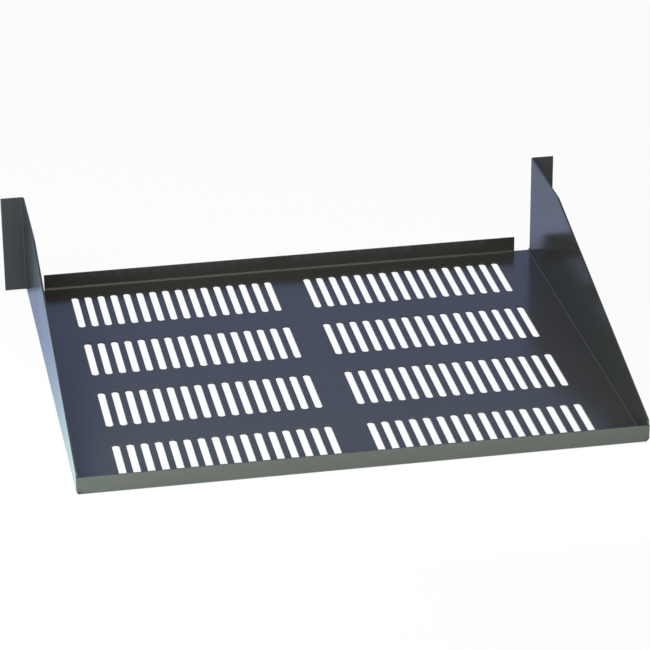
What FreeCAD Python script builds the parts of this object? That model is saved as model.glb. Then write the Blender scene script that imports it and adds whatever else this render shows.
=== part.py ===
import FreeCAD, Part
import math
import os
import Sketcher

# Cantilever rack shelf: one sheet of steel, slotted, cut out and folded. It has a vented
# floor, a low lip along each end, two tapered side walls and an ear turned out from the
# tall end of each wall. The low end is called the nose. X runs across, Y from the nose to
# the ears and Z up. The origin is on the ground under the middle of the shelf. All sizes
# are in millimetres.

DRIVING_SIZES = [
    ("ear_span", "482.6", "across both ears, a 19 inch rack panel"),
    ("rack_height", "88.9", "underside of the floor to the top of the walls, two rack units"),
    ("shelf_depth", "381", "outer face of the nose lip to the outer face of the ears"),
    ("ear_reach", "18.5", "outer face of a side wall to the outer edge of its ear"),
    ("sheet_thickness", "1.5", "the steel sheet"),
    ("bend_radius", "1.5", "inside radius of every fold"),
    ("flat_past_bend", "0.3", "flat sheet between a fold and the cut beside it"),
    ("relief_width", "0.8", "cut that frees an ear from the fold of the floor"),
    ("corner_gap", "0.4", "gap between two edges that meet at a corner"),
    ("level_run", "94.5", "ears' outer face to the point where a wall's top edge starts to fall"),
    ("nose_height", "18.5", "height of a wall at its low end"),
    ("kink_radius", "5", "rounding where a wall's top edge starts to fall"),
    ("nose_radius", "1", "rounding at the top of a wall's low end"),
    ("nose_lip_height", "15", "underside of the floor to the top of the lip at the nose"),
    ("ear_lip_height", "15", "underside of the floor to the top of the lip at the ears"),
    ("lip_notch", "15", "outer face of a wall to the end of the lip at the ears"),
    ("slot_width", "5.9", "width of a vent slot, its ends fully round"),
    ("slots_across", "16", "vent slots in one row of one group"),
    ("slot_rows", "4", "rows of vent slots"),
    ("row_land", "31.9", "solid strip between two rows"),
    ("ear_margin", "21.1", "ears' outer face to the slots nearest to it"),
    ("nose_margin", "13.7", "nose lip's outer face to the slots nearest to it"),
    ("middle_land", "28.4", "solid strip between the left and the right group"),
    ("side_margin", "35.6", "outer face of a wall to the nearest slot"),
]

# Sizes that follow from the driving ones, written as expressions for the features below.
OUTER_RADIUS = "(sizes.bend_radius + sizes.sheet_thickness)"
FOLD_DEPTH = f"({OUTER_RADIUS} + sizes.flat_past_bend)"
HALF_DEPTH = "(sizes.shelf_depth / 2)"
HALF_SPAN = "(sizes.ear_span / 2)"
HALF_WIDTH = f"({HALF_SPAN} - sizes.ear_reach)"
WALL_INSIDE = f"({HALF_WIDTH} - sizes.sheet_thickness)"
FLAT_EDGE = f"({HALF_WIDTH} - {OUTER_RADIUS})"
EAR_FOLD = f"({HALF_DEPTH} - {FOLD_DEPTH})"
WALL_NOSE = f"(sizes.sheet_thickness + sizes.corner_gap - {HALF_DEPTH})"
EAR_FOOT = f"({FOLD_DEPTH} + sizes.relief_width)"
EAR_LIP_END = f"({HALF_WIDTH} - sizes.lip_notch)"
SLOTTED_DEPTH = "(sizes.shelf_depth - sizes.ear_margin - sizes.nose_margin)"
SLOT_LENGTH = f"(({SLOTTED_DEPTH} - (sizes.slot_rows - 1) * sizes.row_land) / sizes.slot_rows)"
GROUP_WIDTH = f"({HALF_WIDTH} - sizes.middle_land / 2 - sizes.side_margin)"
FIRST_SLOT = "(sizes.middle_land / 2 + sizes.slot_width / 2)"
SLOT_EAR_CENTRE = f"({HALF_DEPTH} - sizes.ear_margin - sizes.slot_width / 2)"
SLOT_NOSE_CENTRE = f"({SLOT_EAR_CENTRE} - {SLOT_LENGTH} + sizes.slot_width)"

FLATS_PER_END = 6


def make_sizes(doc):
    sizes = doc.addObject("Spreadsheet::Sheet", "sizes")
    for row, (name, size, note) in enumerate(DRIVING_SIZES, start=1):
        sizes.set(f"A{row}", name)
        sizes.set(f"B{row}", size)
        sizes.set(f"C{row}", note)
        sizes.setAlias(f"B{row}", name)
    doc.recompute()


def number(item, expression):
    return float(item.evalExpression(expression))


def origin_feature(body, role):
    matches = [feature for feature in body.Origin.OriginFeatures if feature.Role == role]
    return matches[0]


def new_sketch(body, name, role, offset=None):
    # An empty sketch on one of the body's own planes, moved along that plane's normal.
    sketch = body.newObject("Sketcher::SketchObject", name)
    sketch.AttachmentSupport = [(origin_feature(body, role), "")]
    sketch.MapMode = "FlatFace"
    if offset:
        sketch.setExpression(".AttachmentOffset.Base.z", offset)
    return sketch


def add_size(sketch, name, expression, kind, *where):
    # One dimension of a sketch, bound to the sheet.
    start = number(sketch, expression)
    index = sketch.addConstraint(Sketcher.Constraint(kind, *where, start))
    sketch.renameConstraint(index, name)
    sketch.setExpression(f"Constraints.{name}", expression)


def corner_shape(points, index, radius):
    # Where the two sides of a corner end, and the arc between them if it is rounded.
    here = points[index]
    if not radius:
        return here, here, None, True
    back = (points[index - 1] - here).normalize()
    ahead = (points[(index + 1) % len(points)] - here).normalize()
    half_angle = back.getAngle(ahead) / 2
    arrive = here + back * (radius / math.tan(half_angle))
    leave = here + ahead * (radius / math.tan(half_angle))
    centre = here + (back + ahead).normalize() * (radius / math.sin(half_angle))
    turns_left = back.cross(ahead).z < 0
    first, last = (arrive, leave) if turns_left else (leave, arrive)
    start = math.atan2(first.y - centre.y, first.x - centre.x)
    end = math.atan2(last.y - centre.y, last.x - centre.x)
    circle = Part.Circle(centre, FreeCAD.Vector(0, 0, 1), radius)
    return arrive, leave, Part.ArcOfCircle(circle, start, end), turns_left


def draw_outline(sketch, corners):
    # A closed outline through corners given as (across, up, rounding) expressions. A side
    # is upright or level where its two corners share an expression, and else it slants.
    count = len(corners)
    points = []
    for across, up, rounding in corners:
        points.append(FreeCAD.Vector(number(sketch, across), number(sketch, up), 0))
    shapes = []
    for index, (across, up, rounding) in enumerate(corners):
        radius = number(sketch, rounding) if rounding else 0
        shapes.append(corner_shape(points, index, radius))

    sides = []
    for index in range(count):
        start = shapes[index][1]
        end = shapes[(index + 1) % count][0]
        sides.append(sketch.addGeometry(Part.LineSegment(start, end)))

    for index, (across, up, rounding) in enumerate(corners):
        arc, turns_left = shapes[index][2:]
        before = sides[index - 1]
        after = sides[index]
        if arc is None:
            sketch.addConstraint(Sketcher.Constraint("Coincident", before, 2, after, 1))
        else:
            curve = sketch.addGeometry(arc)
            arrive, leave = (1, 2) if turns_left else (2, 1)
            sketch.addConstraint(Sketcher.Constraint("Tangent", before, 2, curve, arrive))
            sketch.addConstraint(Sketcher.Constraint("Tangent", curve, leave, after, 1))
            add_size(sketch, f"rounding_{index}", rounding, "Radius", curve)

    for index, side in enumerate(sides):
        across, up, rounding = corners[index]
        next_across, next_up, next_rounding = corners[(index + 1) % count]
        if across == next_across:
            sketch.addConstraint(Sketcher.Constraint("Vertical", side))
            add_size(sketch, f"across_{index}", across, "DistanceX", -1, 1, side, 1)
        elif up == next_up:
            sketch.addConstraint(Sketcher.Constraint("Horizontal", side))
            add_size(sketch, f"up_{index}", up, "DistanceY", -1, 1, side, 1)
        else:
            for end in (index, (index + 1) % count):
                guide = sketch.addGeometry(Part.Point(points[end]), True)
                add_size(sketch, f"guide_across_{end}", corners[end][0], "DistanceX", -1, 1, guide, 1)
                add_size(sketch, f"guide_up_{end}", corners[end][1], "DistanceY", -1, 1, guide, 1)
                sketch.addConstraint(Sketcher.Constraint("PointOnObject", guide, 1, side))


def draw_flats(sketch, corners):
    # A closed outline of straight sides, each corner held by a dimension across and one up.
    points = []
    for across, up in corners:
        points.append(FreeCAD.Vector(number(sketch, across), number(sketch, up), 0))
    for index, point in enumerate(points):
        ahead = points[(index + 1) % len(points)]
        sketch.addGeometry(Part.LineSegment(point, ahead))
    for index, (across, up) in enumerate(corners):
        before = (index - 1) % len(corners)
        sketch.addConstraint(Sketcher.Constraint("Coincident", before, 2, index, 1))
        add_size(sketch, f"across_{index}", across, "DistanceX", -1, 1, index, 1)
        add_size(sketch, f"up_{index}", up, "DistanceY", -1, 1, index, 1)


def pad(body, name, sketch, length, symmetric=False, reverse=False):
    feature = body.newObject("PartDesign::Pad", name)
    feature.Profile = sketch
    feature.setExpression("Length", length)
    feature.SideType = "Symmetric" if symmetric else "One side"
    feature.Reversed = reverse
    feature.Refine = True
    return feature


def cut_floor(body, name, sketch):
    # The sketches of these cuts lie on the ground, so each cut goes up from there.
    feature = body.newObject("PartDesign::Pocket", name)
    feature.Profile = sketch
    feature.Type = "ThroughAll"
    feature.Reversed = True
    feature.Refine = True
    return feature


def make_floor(body):
    # The floor with the fold along each side, seen from the nose. It runs from the edge of
    # the sheet at the ears to the ends of the walls at the nose.
    sketch = new_sketch(body, "floor_section", "XZ_Plane", f"-{HALF_DEPTH}")
    draw_outline(sketch, [
        (f"-{HALF_WIDTH}", "0", OUTER_RADIUS),
        (HALF_WIDTH, "0", OUTER_RADIUS),
        (HALF_WIDTH, FOLD_DEPTH, None),
        (WALL_INSIDE, FOLD_DEPTH, None),
        (WALL_INSIDE, "sizes.sheet_thickness", "sizes.bend_radius"),
        (f"-{WALL_INSIDE}", "sizes.sheet_thickness", "sizes.bend_radius"),
        (f"-{WALL_INSIDE}", FOLD_DEPTH, None),
        (f"-{HALF_WIDTH}", FOLD_DEPTH, None),
    ])
    pad(body, "floor", sketch, f"{HALF_DEPTH} - {WALL_NOSE}")


def trim_floor(body, name, half_width, inner_edge, outer_edge):
    # The floor stops where a lip's fold starts.
    sketch = new_sketch(body, f"{name}_outline", "XY_Plane")
    draw_outline(sketch, [
        (f"-{half_width}", inner_edge, None),
        (half_width, inner_edge, None),
        (half_width, outer_edge, None),
        (f"-{half_width}", outer_edge, None),
    ])
    cut_floor(body, name, sketch)


def make_lip(body, name, toward, height, half_width):
    # A lip folded up from the floor, seen from the side. toward is "-" at the nose.
    sketch = new_sketch(body, f"{name}_section", "YZ_Plane")
    draw_outline(sketch, [
        (f"{toward}{EAR_FOLD}", "0", None),
        (f"{toward}{HALF_DEPTH}", "0", OUTER_RADIUS),
        (f"{toward}{HALF_DEPTH}", height, None),
        (f"{toward}({HALF_DEPTH} - sizes.sheet_thickness)", height, None),
        (f"{toward}({HALF_DEPTH} - sizes.sheet_thickness)", "sizes.sheet_thickness",
         "sizes.bend_radius"),
        (f"{toward}{EAR_FOLD}", "sizes.sheet_thickness", None),
    ])
    pad(body, name, sketch, f"2 * {half_width}", symmetric=True)


def make_nose_lip_ends(body):
    # Above its fold the lip at the nose runs on across the ends of both walls.
    sketch = new_sketch(body, "nose_lip_face", "XZ_Plane", HALF_DEPTH)
    draw_outline(sketch, [
        (f"-{HALF_WIDTH}", FOLD_DEPTH, None),
        (HALF_WIDTH, FOLD_DEPTH, None),
        (HALF_WIDTH, "sizes.nose_lip_height", None),
        (f"-{HALF_WIDTH}", "sizes.nose_lip_height", None),
    ])
    pad(body, "nose_lip_ends", sketch, "sizes.sheet_thickness", reverse=True)


def make_wall(body):
    # A side wall, seen from the side: level beside the ear, then falling to the nose.
    sketch = new_sketch(body, "wall_outline", "YZ_Plane", WALL_INSIDE)
    draw_outline(sketch, [
        (WALL_NOSE, FOLD_DEPTH, None),
        (EAR_FOLD, FOLD_DEPTH, None),
        (EAR_FOLD, "sizes.rack_height", None),
        (f"({HALF_DEPTH} - sizes.level_run)", "sizes.rack_height", "sizes.kink_radius"),
        (WALL_NOSE, "sizes.nose_height", "sizes.nose_radius"),
    ])
    return pad(body, "wall", sketch, "sizes.sheet_thickness")


def make_ear(body):
    # An ear turned out from the tall end of a wall, seen from above.
    sketch = new_sketch(body, "ear_section", "XY_Plane", EAR_FOOT)
    draw_outline(sketch, [
        (WALL_INSIDE, EAR_FOLD, None),
        (HALF_WIDTH, EAR_FOLD, None),
        (HALF_WIDTH, f"({HALF_DEPTH} - sizes.sheet_thickness)", "sizes.bend_radius"),
        (HALF_SPAN, f"({HALF_DEPTH} - sizes.sheet_thickness)", None),
        (HALF_SPAN, HALF_DEPTH, None),
        (WALL_INSIDE, HALF_DEPTH, OUTER_RADIUS),
    ])
    return pad(body, "ear", sketch, f"sizes.rack_height - {EAR_FOOT}")


def mirror_sides(body, features):
    mirrored = body.newObject("PartDesign::Mirrored", "left_side")
    mirrored.Originals = features
    mirrored.MirrorPlane = (origin_feature(body, "YZ_Plane"), [""])
    mirrored.Refine = True
    body.Tip = mirrored


def make_slots(body):
    # One slot, at the corner of the right group nearest the middle and the ears. Its round
    # ends are drawn as short flats on the true arc, so that the many slots stay light.
    sketch = new_sketch(body, "slot_outline", "XY_Plane")
    corners = []
    for end_centre, first_angle in ((SLOT_EAR_CENTRE, 0), (SLOT_NOSE_CENTRE, 180)):
        for step in range(FLATS_PER_END + 1):
            angle = first_angle + step * 180 / FLATS_PER_END
            across = f"{FIRST_SLOT} + sizes.slot_width / 2 * cos({angle} deg)"
            along = f"{end_centre} + sizes.slot_width / 2 * sin({angle} deg)"
            corners.append((across, along))
    draw_flats(sketch, corners)
    return cut_floor(body, "slot", sketch)


def repeat_slots(body, slot):
    # The slot is repeated across and toward the nose, and then the group on the left.
    vents = body.newObject("PartDesign::MultiTransform", "vent_slots")
    vents.Originals = [slot]
    grid = body.newObject("PartDesign::LinearPattern", "slot_grid")
    grid.Direction = (origin_feature(body, "X_Axis"), [""])
    grid.setExpression("Length", f"{GROUP_WIDTH} - sizes.slot_width")
    grid.setExpression("Occurrences", "sizes.slots_across")
    grid.Direction2 = (origin_feature(body, "Y_Axis"), [""])
    grid.Reversed2 = True
    grid.setExpression("Length2", f"{SLOTTED_DEPTH} - {SLOT_LENGTH}")
    grid.setExpression("Occurrences2", "sizes.slot_rows")
    other_group = body.newObject("PartDesign::Mirrored", "other_group")
    other_group.MirrorPlane = (origin_feature(body, "YZ_Plane"), [""])
    vents.Transformations = [grid, other_group]
    body.Tip = vents


def make_shelf(doc):
    body = doc.addObject("PartDesign::Body", "shelf")
    body.Label = "shelf"
    doc.recompute()
    make_floor(body)
    trim_floor(body, "nose_trim", FLAT_EDGE, f"-{EAR_FOLD}", f"-{HALF_DEPTH}")
    trim_floor(body, "ear_trim", f"({EAR_LIP_END} + sizes.corner_gap)", EAR_FOLD,
               f"({HALF_DEPTH} + sizes.sheet_thickness)")
    make_lip(body, "nose_lip", "-", "sizes.nose_lip_height", f"({FLAT_EDGE} - sizes.corner_gap)")
    make_nose_lip_ends(body)
    make_lip(body, "ear_lip", "", "sizes.ear_lip_height", EAR_LIP_END)
    wall = make_wall(body)
    ear = make_ear(body)
    mirror_sides(body, [wall, ear])
    slot = make_slots(body)
    repeat_slots(body, slot)
    return body


def check(doc, bodies):
    for item in doc.Objects:
        for fault in ("Invalid", "Error"):
            if fault in item.State:
                raise RuntimeError(f"{item.Label} is {fault}")
    for body in bodies:
        shape = body.Shape
        if shape.isNull() or not shape.isValid() or len(shape.Solids) != 1:
            raise RuntimeError(f"{body.Label} has no sound solid")


document = FreeCAD.newDocument("rack_shelf")
make_sizes(document)
shelf = make_shelf(document)
document.recompute()
check(document, [shelf])
os.makedirs("parts", exist_ok=True)
for sub_part in [shelf]:
    sub_part.Shape.exportStep(f"parts/{sub_part.Label}.step")
    box = sub_part.Shape.BoundBox
    print(sub_part.Label, box, round(sub_part.Shape.Volume), "cubic millimetres")
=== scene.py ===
import math
import bpy
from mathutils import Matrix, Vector


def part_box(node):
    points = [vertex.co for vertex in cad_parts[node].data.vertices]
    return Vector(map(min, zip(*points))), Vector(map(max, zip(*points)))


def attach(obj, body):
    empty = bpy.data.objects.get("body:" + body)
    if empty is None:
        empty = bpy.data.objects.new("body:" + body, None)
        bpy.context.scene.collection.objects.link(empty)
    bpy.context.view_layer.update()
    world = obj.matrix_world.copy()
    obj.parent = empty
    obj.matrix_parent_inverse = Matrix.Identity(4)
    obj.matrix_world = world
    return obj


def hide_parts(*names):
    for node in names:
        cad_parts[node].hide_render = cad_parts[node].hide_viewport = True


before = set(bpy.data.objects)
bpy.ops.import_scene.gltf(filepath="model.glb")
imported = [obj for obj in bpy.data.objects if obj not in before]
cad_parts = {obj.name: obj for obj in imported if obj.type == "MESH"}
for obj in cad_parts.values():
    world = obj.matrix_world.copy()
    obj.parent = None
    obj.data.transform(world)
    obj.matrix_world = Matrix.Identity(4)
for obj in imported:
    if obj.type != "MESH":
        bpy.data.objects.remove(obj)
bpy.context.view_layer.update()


# the camera of the photograph: a long lens high up in front, a little to the left

cameraSetup = {
    "place": (-0.41, -2.26224, 1.0978),     # metres
    "turn": (65.185, 0.461, -10.557),       # degrees
    "lens": 172.48,                         # mm
    "sensor": 36,                           # mm
}


def addCamera(setup):
    turn = [math.radians(angle) for angle in setup["turn"]]
    bpy.ops.object.camera_add(location=setup["place"], rotation=turn)
    camera = bpy.context.object
    camera.name = "photoCamera"
    camera.data.lens = setup["lens"]
    camera.data.sensor_width = setup["sensor"]
    bpy.context.scene.camera = camera


addCamera(cameraSetup)
print("camera placed")


# what the materials share

white = (1, 1, 1, 1)


def newMaterial(name):
    material = bpy.data.materials.new(name)
    material.use_nodes = True
    return material


def socketNamed(sockets, name):
    # a mix node has one socket of this name for each kind of data, and only one is in use
    return next(socket for socket in sockets if socket.name == name and socket.enabled)


def mixColours(nodes, links, first, second, share):
    # each is a plain value or another node's output, and share is how much of the second shows
    mix = nodes.new("ShaderNodeMix")
    mix.data_type = "RGBA"
    for name, source in (("A", first), ("B", second), ("Factor", share)):
        socket = socketNamed(mix.inputs, name)
        if isinstance(source, bpy.types.NodeSocket):
            links.new(source, socket)
        else:
            socket.default_value = source
    return socketNamed(mix.outputs, "Result")


def addNoise(nodes, links, where, scale, detail):
    noise = nodes.new("ShaderNodeTexNoise")
    noise.inputs["Scale"].default_value = scale
    noise.inputs["Detail"].default_value = detail
    links.new(where.outputs["Object"], noise.inputs["Vector"])
    return noise


# black powder coat: semi-gloss, in soft patches, with the fine pebble of a sprayed coat

coatLook = {
    "thinColour": (0.034, 0.032, 0.029, 1),     # where the coat lies thin
    "thickColour": (0.044, 0.042, 0.038, 1),    # and where it lies thick
    "patchScale": 14,                           # patches to a metre
    "patchDetail": 3,
    "roughness": 0.2,
    "roughnessSpread": 0.04,                    # a patch is this much smoother or rougher
    "pebbleScale": 620,                         # bumps to a metre
    "pebbleDetail": 2,
    "pebbleDepth": 0.00005,                     # metres
    "pebbleStrength": 0.5,
}


def makeCoat(look):
    material = newMaterial("blackPowderCoat")
    nodes = material.node_tree.nodes
    links = material.node_tree.links
    shader = nodes["Principled BSDF"]
    where = nodes.new("ShaderNodeTexCoord")
    patches = addNoise(nodes, links, where, look["patchScale"], look["patchDetail"])
    tone = mixColours(nodes, links, look["thinColour"], look["thickColour"], patches.outputs["Fac"])
    links.new(tone, shader.inputs["Base Color"])
    spread = nodes.new("ShaderNodeMapRange")
    spread.inputs["To Min"].default_value = look["roughness"] - look["roughnessSpread"]
    spread.inputs["To Max"].default_value = look["roughness"] + look["roughnessSpread"]
    links.new(patches.outputs["Fac"], spread.inputs["Value"])
    links.new(spread.outputs["Result"], shader.inputs["Roughness"])
    pebble = addNoise(nodes, links, where, look["pebbleScale"], look["pebbleDetail"])
    bump = nodes.new("ShaderNodeBump")
    bump.inputs["Strength"].default_value = look["pebbleStrength"]
    bump.inputs["Distance"].default_value = look["pebbleDepth"]
    links.new(pebble.outputs["Fac"], bump.inputs["Height"])
    links.new(bump.outputs["Normal"], shader.inputs["Normal"])
    return material


powderCoat = makeCoat(coatLook)
print("coat made")


# the shelf: its outer skin is drawn flat, cut out, folded up, thickened inward and slotted

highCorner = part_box("shelf")[1]

shelfForm = {                       # metres, degrees
    "halfSpan": highCorner[0],      # middle to the outer edge of an ear
    "halfDepth": highCorner[1],     # middle to the outer face of a lip, and to the back of an ear
    "top": highCorner[2],
    "earReach": 0.0185,             # outer face of a wall to the outer edge of its ear
    "sheet": 0.0015,                # thickness
    "foldInside": 0.0015,           # inside radius of every fold
    "foldSteps": 8,
    "flatPastFold": 0.0003,         # flat sheet between a fold and the cut beside it
    "relief": 0.0008,               # cut that frees an ear from the fold of the floor
    "gap": 0.0004,                  # between two edges that meet at a corner
    "levelRun": 0.0945,             # back of an ear to where its wall starts to fall
    "kinkRadius": 0.005,            # of the wall's corner there
    "noseHeight": 0.0185,           # a wall's low end
    "noseRadius": 0.001,            # of the wall's corner there
    "cornerSteps": 5,
    "noseLip": 0.015,               # heights of the two lips
    "earLip": 0.015,
    "lipNotch": 0.015,              # outer face of a wall to the end of the ears' lip
    "coatEdge": 0.00018,            # the coat rounds every cut edge
    "coatSteps": 2,
    "cutAngle": 50,                 # an edge that turns more than this was cut
    "smoothAngle": 40,              # an edge that turns less than this is shaded smooth
    "flatWeight": 100,              # how far the large faces lead the shading
}

slotForm = {                        # metres
    "width": 0.0059,
    "across": 16,                   # slots in half a row
    "rows": 4,
    "rowLand": 0.0319,              # solid strip between two rows
    "earMargin": 0.0211,            # solid strips around the slots
    "noseMargin": 0.0137,
    "middleLand": 0.0284,
    "sideMargin": 0.0356,
    "roundSteps": 34,               # not a multiple of four, so no point lies across the middle
    "spare": 0.001,                 # the punch reaches this far past the sheet
}

tiny = 0.00001                      # two places nearer than this are the same


def deselectAll():
    bpy.ops.object.select_all(action="DESELECT")


def near(value, target):
    return abs(value - target) < tiny


def pick(piece, kind, test):
    # in edit mode, select what has all its points pass the test
    bpy.ops.object.mode_set(mode="EDIT")
    bpy.ops.mesh.select_mode(type=kind)
    bpy.ops.mesh.select_all(action="DESELECT")
    bpy.ops.object.mode_set(mode="OBJECT")
    mesh = piece.data
    if kind == "VERT":
        for point in mesh.vertices:
            point.select = test(point.co)
    else:
        items = mesh.edges if kind == "EDGE" else mesh.polygons
        for item in items:
            item.select = all(test(mesh.vertices[index].co) for index in item.vertices)
    bpy.ops.object.mode_set(mode="EDIT")


def cutAcross(place, normal, clearAbove=False):
    bpy.ops.mesh.select_all(action="SELECT")
    bpy.ops.mesh.bisect(plane_co=place, plane_no=normal, clear_outer=clearAbove)


def drawOut(move):
    bpy.ops.mesh.extrude_region_move(TRANSFORM_OT_translate={"value": move})


def applyModifier(piece, kind, **settings):
    bpy.ops.object.modifier_add(type=kind)
    modifier = piece.modifiers[-1]
    for name, value in settings.items():
        setattr(modifier, name, value)
    bpy.ops.object.modifier_apply(modifier=modifier.name)


def cutFlatFloor(form, places):
    # a rectangle with a slit at each end of both lips
    bpy.ops.mesh.primitive_plane_add(size=2)    # reaches 1 to each side of the middle
    shelf = bpy.context.object
    shelf.name = "folded_shelf"
    bpy.ops.object.mode_set(mode="EDIT")
    bpy.ops.transform.resize(value=(places["wall"], form["halfDepth"], 1))
    for along in (places["wallNose"], places["noseFold"], places["earFold"]):
        cutAcross((0, along, 0), (0, 1, 0))
    for across in ("earLipEnd", "earSlit", "noseLipEnd", "noseSlit"):
        for side in (-1, 1):
            cutAcross((side * places[across], 0, 0), (1, 0, 0))
    for side in (-1, 1):
        waste = [
            # past the end of the nose lip's fold, in front of the wall
            lambda p: side * p.x > places["noseLipEnd"] - tiny and p.y < places["wallNose"] + tiny,
            # the slit between that fold and the wall's
            lambda p: places["noseLipEnd"] - tiny < side * p.x < places["noseSlit"] + tiny
            and p.y < places["noseFold"] + tiny,
            # the slit at the end of the ears' lip
            lambda p: places["earLipEnd"] - tiny < side * p.x < places["earSlit"] + tiny
            and p.y > places["earFold"] - tiny,
        ]
        for test in waste:
            pick(shelf, "FACE", test)
            bpy.ops.mesh.delete(type="FACE")
    pick(shelf, "EDGE", lambda p: near(p.y, places["wallNose"])
         and abs(p.x) < places["noseLipEnd"] + tiny)
    bpy.ops.mesh.dissolve_edges()           # clears the way for the fold of the lip
    return shelf


def raiseWalls(shelf, form, places):
    # above its relief cut, each wall runs on and turns outward into the ear
    pick(shelf, "EDGE", lambda p: near(abs(p.x), places["wall"]))
    drawOut((0, 0, places["foldTop"]))
    pick(shelf, "EDGE", lambda p: near(p.z, places["foldTop"]) and p.y < places["earFold"] + tiny)
    drawOut((0, 0, form["relief"]))
    pick(shelf, "EDGE", lambda p: near(p.z, places["earFoot"]))
    drawOut((0, 0, form["top"] - places["earFoot"]))
    pick(shelf, "EDGE", lambda p: near(p.y, places["earFold"]) and p.z > places["earFoot"] - tiny)
    drawOut((0, places["earFace"] - places["earFold"], 0))
    for side in (-1, 1):
        pick(shelf, "EDGE", lambda p: near(p.x, side * places["wall"])
             and near(p.y, places["earFace"]))
        drawOut((side * form["earReach"], 0, 0))


def raiseLips(shelf, form, places):
    # above its fold, the lip at the nose runs on across the ends of both walls
    pick(shelf, "EDGE", lambda p: near(p.y, -form["halfDepth"]))
    drawOut((0, 0, places["foldTop"]))
    drawOut((0, 0, form["noseLip"] - places["foldTop"]))
    for side in (-1, 1):
        pick(shelf, "EDGE", lambda p: near(p.x, side * places["noseLipEnd"])
             and near(p.y, -form["halfDepth"]) and p.z > places["foldTop"] - tiny)
        drawOut((side * (places["wall"] - places["noseLipEnd"]), 0, 0))
    pick(shelf, "EDGE", lambda p: near(p.y, form["halfDepth"])
         and abs(p.x) < places["earLipEnd"] + tiny)
    drawOut((0, 0, form["earLip"]))


def slopeWalls(shelf, form, places):
    # the walls are cut off along one plane, and its two corners are rounded
    kink = Vector((0, form["halfDepth"] - form["levelRun"], form["top"]))
    nose = Vector((0, places["wallNose"], form["noseHeight"]))
    fall = kink - nose
    cutAcross(kink, (0, -fall.z, fall.y), clearAbove=True)
    fallAngle = math.atan2(fall.z, fall.y)
    corners = [
        (kink, form["kinkRadius"], fallAngle),
        (nose, form["noseRadius"], math.pi / 2 - fallAngle),
    ]
    for corner, radius, turn in corners:
        pick(shelf, "VERT", lambda p: near(p.y, corner.y) and near(p.z, corner.z))
        bpy.ops.mesh.bevel(offset=radius * math.tan(turn / 2), segments=form["cornerSteps"],
                           affect="VERTICES")


def roundFolds(shelf, form, places):
    # the skin lies outside the folds of the floor, and inside those of the ears
    outside = form["foldInside"] + form["sheet"]
    foldLines = [
        (lambda p: near(p.z, 0) and near(abs(p.x), places["wall"]), outside),
        (lambda p: near(p.z, 0) and near(p.y, -form["halfDepth"]), outside),
        (lambda p: near(p.z, 0) and near(p.y, form["halfDepth"])
         and abs(p.x) < places["earLipEnd"] + tiny, outside),
        (lambda p: near(abs(p.x), places["wall"]) and near(p.y, places["earFace"]),
         form["foldInside"]),
    ]
    for test, radius in foldLines:
        pick(shelf, "EDGE", test)
        bpy.ops.mesh.bevel(offset=radius, segments=form["foldSteps"], affect="EDGES",
                           clamp_overlap=False)


def thicken(shelf, form):
    # the skin has to face out and down before it is thickened inward
    bpy.ops.mesh.select_all(action="SELECT")
    bpy.ops.mesh.remove_doubles(threshold=tiny)
    bpy.ops.mesh.normals_make_consistent(inside=False)
    bpy.ops.object.mode_set(mode="OBJECT")
    floorFace = max(shelf.data.polygons, key=lambda face: face.area)
    if floorFace.normal.z > 0:
        bpy.ops.object.mode_set(mode="EDIT")
        bpy.ops.mesh.flip_normals()
        bpy.ops.object.mode_set(mode="OBJECT")
    applyModifier(shelf, "SOLIDIFY", thickness=form["sheet"], offset=-1, use_even_offset=True)
    applyModifier(shelf, "BEVEL", width=form["coatEdge"], segments=form["coatSteps"],
                  limit_method="ANGLE", angle_limit=math.radians(form["cutAngle"]),
                  use_clamp_overlap=False)


def faceOutward():
    bpy.ops.object.mode_set(mode="EDIT")
    bpy.ops.mesh.select_all(action="SELECT")
    bpy.ops.mesh.normals_make_consistent(inside=False)
    bpy.ops.object.mode_set(mode="OBJECT")


def makePunch(form, slots, places):
    # the lower half of one slot's punch, flared at the sheet's face, then mirrored and repeated
    rounding = form["coatEdge"]
    slope = rounding * (1 - math.sqrt(0.5))     # the flare is a quarter round in two steps
    radius = slots["width"] / 2
    length = (2 * form["halfDepth"] - slots["earMargin"] - slots["noseMargin"]
              - (slots["rows"] - 1) * slots["rowLand"]) / slots["rows"]
    firstAcross = slots["middleLand"] / 2 + radius
    firstAlong = form["halfDepth"] - slots["earMargin"] - length / 2
    lastAcross = places["wall"] - slots["sideMargin"] - radius
    pitchAcross = (lastAcross - firstAcross) / (slots["across"] - 1)
    pitchAlong = length + slots["rowLand"]
    halfSheet = form["sheet"] / 2
    bpy.ops.mesh.primitive_circle_add(vertices=slots["roundSteps"], radius=radius + rounding,
                                      fill_type="NGON", location=(0, 0, halfSheet))
    punch = bpy.context.object
    punch.name = "slotPunch"
    for side in (-1, 1):
        pick(punch, "VERT", lambda p: side * p.y > 0)
        bpy.ops.transform.translate(value=(0, side * (length / 2 - radius), 0))
    bpy.ops.mesh.select_all(action="SELECT")
    bpy.ops.transform.translate(value=(firstAcross, firstAlong, -halfSheet - slots["spare"]))
    bpy.ops.mesh.select_mode(type="FACE")
    drawOut((0, 0, slots["spare"]))
    bpy.ops.mesh.inset(thickness=rounding - slope, depth=slope)
    bpy.ops.mesh.inset(thickness=slope, depth=rounding - slope)
    drawOut((0, 0, halfSheet - rounding))
    bpy.ops.mesh.delete(type="ONLY_FACE")
    bpy.ops.object.mode_set(mode="OBJECT")
    applyModifier(punch, "MIRROR", use_axis=(False, False, True), merge_threshold=tiny)
    repeats = [
        (slots["across"], (pitchAcross, 0, 0)),
        (slots["rows"], (0, -pitchAlong, 0)),
    ]
    for count, move in repeats:
        applyModifier(punch, "ARRAY", count=count, use_relative_offset=False,
                      use_constant_offset=True, constant_offset_displace=move)
    applyModifier(punch, "MIRROR", use_axis=(True, False, False), use_mirror_merge=False)
    faceOutward()
    return punch


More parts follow.
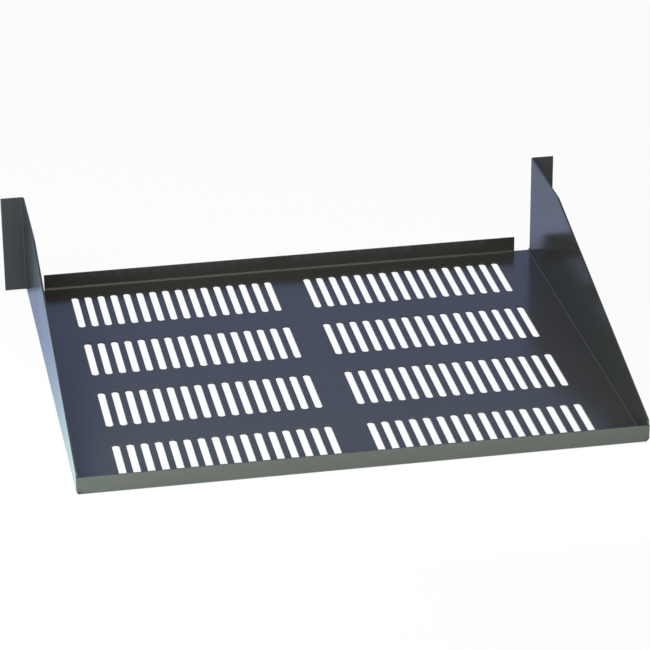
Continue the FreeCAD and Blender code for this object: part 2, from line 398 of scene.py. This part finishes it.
def punchSlots(shelf, punch):
    deselectAll()
    shelf.select_set(True)
    bpy.context.view_layer.objects.active = shelf
    applyModifier(shelf, "BOOLEAN", object=punch, operation="DIFFERENCE", solver="EXACT")
    bpy.data.objects.remove(punch)


def smooth(shelf, form):
    bpy.ops.object.shade_smooth_by_angle(angle=math.radians(form["smoothAngle"]))
    applyModifier(shelf, "WEIGHTED_NORMAL", mode="FACE_AREA", weight=form["flatWeight"],
                  keep_sharp=True)


def makeShelf(form, slots, coat):
    wall = form["halfSpan"] - form["earReach"]
    foldTop = form["foldInside"] + form["sheet"] + form["flatPastFold"]
    places = {
        "wall": wall,
        "foldTop": foldTop,
        "earFoot": foldTop + form["relief"],
        "earFold": form["halfDepth"] - foldTop,
        "earFace": form["halfDepth"] - form["sheet"],
        "noseFold": foldTop - form["halfDepth"],
        "wallNose": form["sheet"] + form["gap"] - form["halfDepth"],
        "earLipEnd": wall - form["lipNotch"],
        "earSlit": wall - form["lipNotch"] + form["gap"],
        "noseLipEnd": wall - foldTop - form["gap"],
        "noseSlit": wall - foldTop,
    }
    deselectAll()
    punch = makePunch(form, slots, places)
    deselectAll()
    shelf = cutFlatFloor(form, places)
    raiseWalls(shelf, form, places)
    raiseLips(shelf, form, places)
    slopeWalls(shelf, form, places)
    roundFolds(shelf, form, places)
    thicken(shelf, form)
    print("sheet folded,", len(shelf.data.polygons), "faces")
    punchSlots(shelf, punch)
    smooth(shelf, form)
    print("slots punched,", len(shelf.data.polygons), "faces")
    shelf.data.materials.clear()
    shelf.data.materials.append(coat)
    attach(shelf, "root")
    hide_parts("shelf")


makeShelf(shelfForm, slotForm, powderCoat)
print("shelf made")


# a pale floor, soft lamps and a pale sky

stageSetup = {
    "floorSize": 12,                # metres
    "floorDrop": 0.0003,            # keeps the floor clear of the shelf's underside
    "floorColour": (0.86, 0.86, 0.86, 1),
    "floorRoughness": 0.9,
    "floorSpecular": 0.1,
    "paintedShadeBehind": (0.6, 0.68, 1, 1),       # painted shade: the darker, bluer floor that glossy paint reflects behind the shelf
    "paintedLightInFront": (0.85, 1, 1, 1),        # painted light: the brighter floor that glossy paint reflects in front of it
    "paintedShadeFadeFrom": 0.1,               # metres along Y, where the painted shade starts to turn into the painted light
    "paintedShadeFadeTo": -0.2,                # and where it has done so
    "floorGlow": 0.94,              # share of the floor that the camera sees as plain white
    "skyColour": (1, 0.97, 0.92, 1),
    "skyStrength": 0.08,
}

lampSetup = {                       # metres, watts
    "keyLamp": {                    # lights the whole, from above and in front
        "place": (-0.7, -1.05, 2.35), "aim": (0, 0, 0), "size": (3.4, 3.4),
        "power": 71, "colour": (1, 0.98, 0.94),
    },
    "noseLamp": {                   # a near strip for the lip at the nose
        "place": (-0.06, -0.32, 0.06), "aim": (-0.06, -0.19, 0.01), "size": (0.9, 0.04),
        "power": 1.15, "colour": (0.93, 1, 0.9),
    },
    "backLamp": {                   # shows as the bluish sheen on the tray
        "place": (0.5, 2.7, 1.25), "aim": (0, 0, 0), "size": (2.4, 2.4),
        "power": 11.6, "colour": (0.35, 0.5, 1),
    },
    "leftLamp": {                   # lights the floor that the left wall reflects
        "place": (-0.5, -0.3, 0.3), "aim": (-0.26, -0.25, 0), "size": (0.5, 0.5),
        "power": 2.7, "colour": (0.72, 0.97, 0.98),
    },
}


def addFloor(setup):
    bpy.ops.mesh.primitive_plane_add(size=setup["floorSize"], location=(0, 0, -setup["floorDrop"]))
    floor = bpy.context.object
    floor.name = "studioFloor"
    material = newMaterial("studioFloor")
    nodes = material.node_tree.nodes
    links = material.node_tree.links
    shader = nodes["Principled BSDF"]
    shader.inputs["Roughness"].default_value = setup["floorRoughness"]
    shader.inputs["Specular IOR Level"].default_value = setup["floorSpecular"]
    path = nodes.new("ShaderNodeLightPath")
    where = nodes.new("ShaderNodeTexCoord")
    along = nodes.new("ShaderNodeSeparateXYZ")
    links.new(where.outputs["Object"], along.inputs["Vector"])
    # glossy rays alone see a painted reflection on the floor: painted shade behind the shelf,
    # fading into painted light in front
    paintedLightShare = nodes.new("ShaderNodeMapRange")
    paintedLightShare.interpolation_type = "SMOOTHSTEP"
    paintedLightShare.inputs["From Min"].default_value = setup["paintedShadeFadeFrom"]
    paintedLightShare.inputs["From Max"].default_value = setup["paintedShadeFadeTo"]
    links.new(along.outputs["Y"], paintedLightShare.inputs["Value"])
    paintedReflection = mixColours(nodes, links, setup["paintedShadeBehind"], setup["paintedLightInFront"],
                       paintedLightShare.outputs["Result"])
    tone = mixColours(nodes, links, setup["floorColour"], paintedReflection, path.outputs["Is Glossy Ray"])
    links.new(tone, shader.inputs["Base Color"])
    glow = nodes.new("ShaderNodeEmission")
    glow.inputs["Color"].default_value = white
    share = nodes.new("ShaderNodeMath")
    share.operation = "MULTIPLY"
    share.inputs[1].default_value = setup["floorGlow"]
    links.new(path.outputs["Is Camera Ray"], share.inputs[0])
    mix = nodes.new("ShaderNodeMixShader")
    links.new(share.outputs["Value"], mix.inputs["Fac"])
    links.new(shader.outputs["BSDF"], mix.inputs[1])
    links.new(glow.outputs["Emission"], mix.inputs[2])
    links.new(mix.outputs["Shader"], nodes["Material Output"].inputs["Surface"])
    floor.data.materials.append(material)


def addSky(setup):
    world = bpy.data.worlds.new("studioSky")
    bpy.context.scene.world = world
    world.use_nodes = True
    nodes = world.node_tree.nodes
    links = world.node_tree.links
    dome = nodes["Background"]
    dome.inputs["Color"].default_value = setup["skyColour"]
    dome.inputs["Strength"].default_value = setup["skyStrength"]
    backdrop = nodes.new("ShaderNodeBackground")
    backdrop.inputs["Color"].default_value = white
    path = nodes.new("ShaderNodeLightPath")
    mix = nodes.new("ShaderNodeMixShader")
    links.new(path.outputs["Is Camera Ray"], mix.inputs["Fac"])
    links.new(dome.outputs["Background"], mix.inputs[1])
    links.new(backdrop.outputs["Background"], mix.inputs[2])
    links.new(mix.outputs["Shader"], nodes["World Output"].inputs["Surface"])


def addLamp(name, setup):
    place = Vector(setup["place"])
    turn = (Vector(setup["aim"]) - place).to_track_quat("-Z", "Y").to_euler()
    bpy.ops.object.light_add(type="AREA", location=place, rotation=turn)
    lamp = bpy.context.object
    lamp.name = name
    lamp.visible_camera = False
    lamp.data.shape = "RECTANGLE"
    lamp.data.size, lamp.data.size_y = setup["size"]
    lamp.data.energy = setup["power"]
    lamp.data.color = setup["colour"]


addFloor(stageSetup)
addSky(stageSetup)
for lampName, lamp in lampSetup.items():
    addLamp(lampName, lamp)
bpy.context.scene.view_settings.view_transform = "Standard"
print("stage and lamps placed")
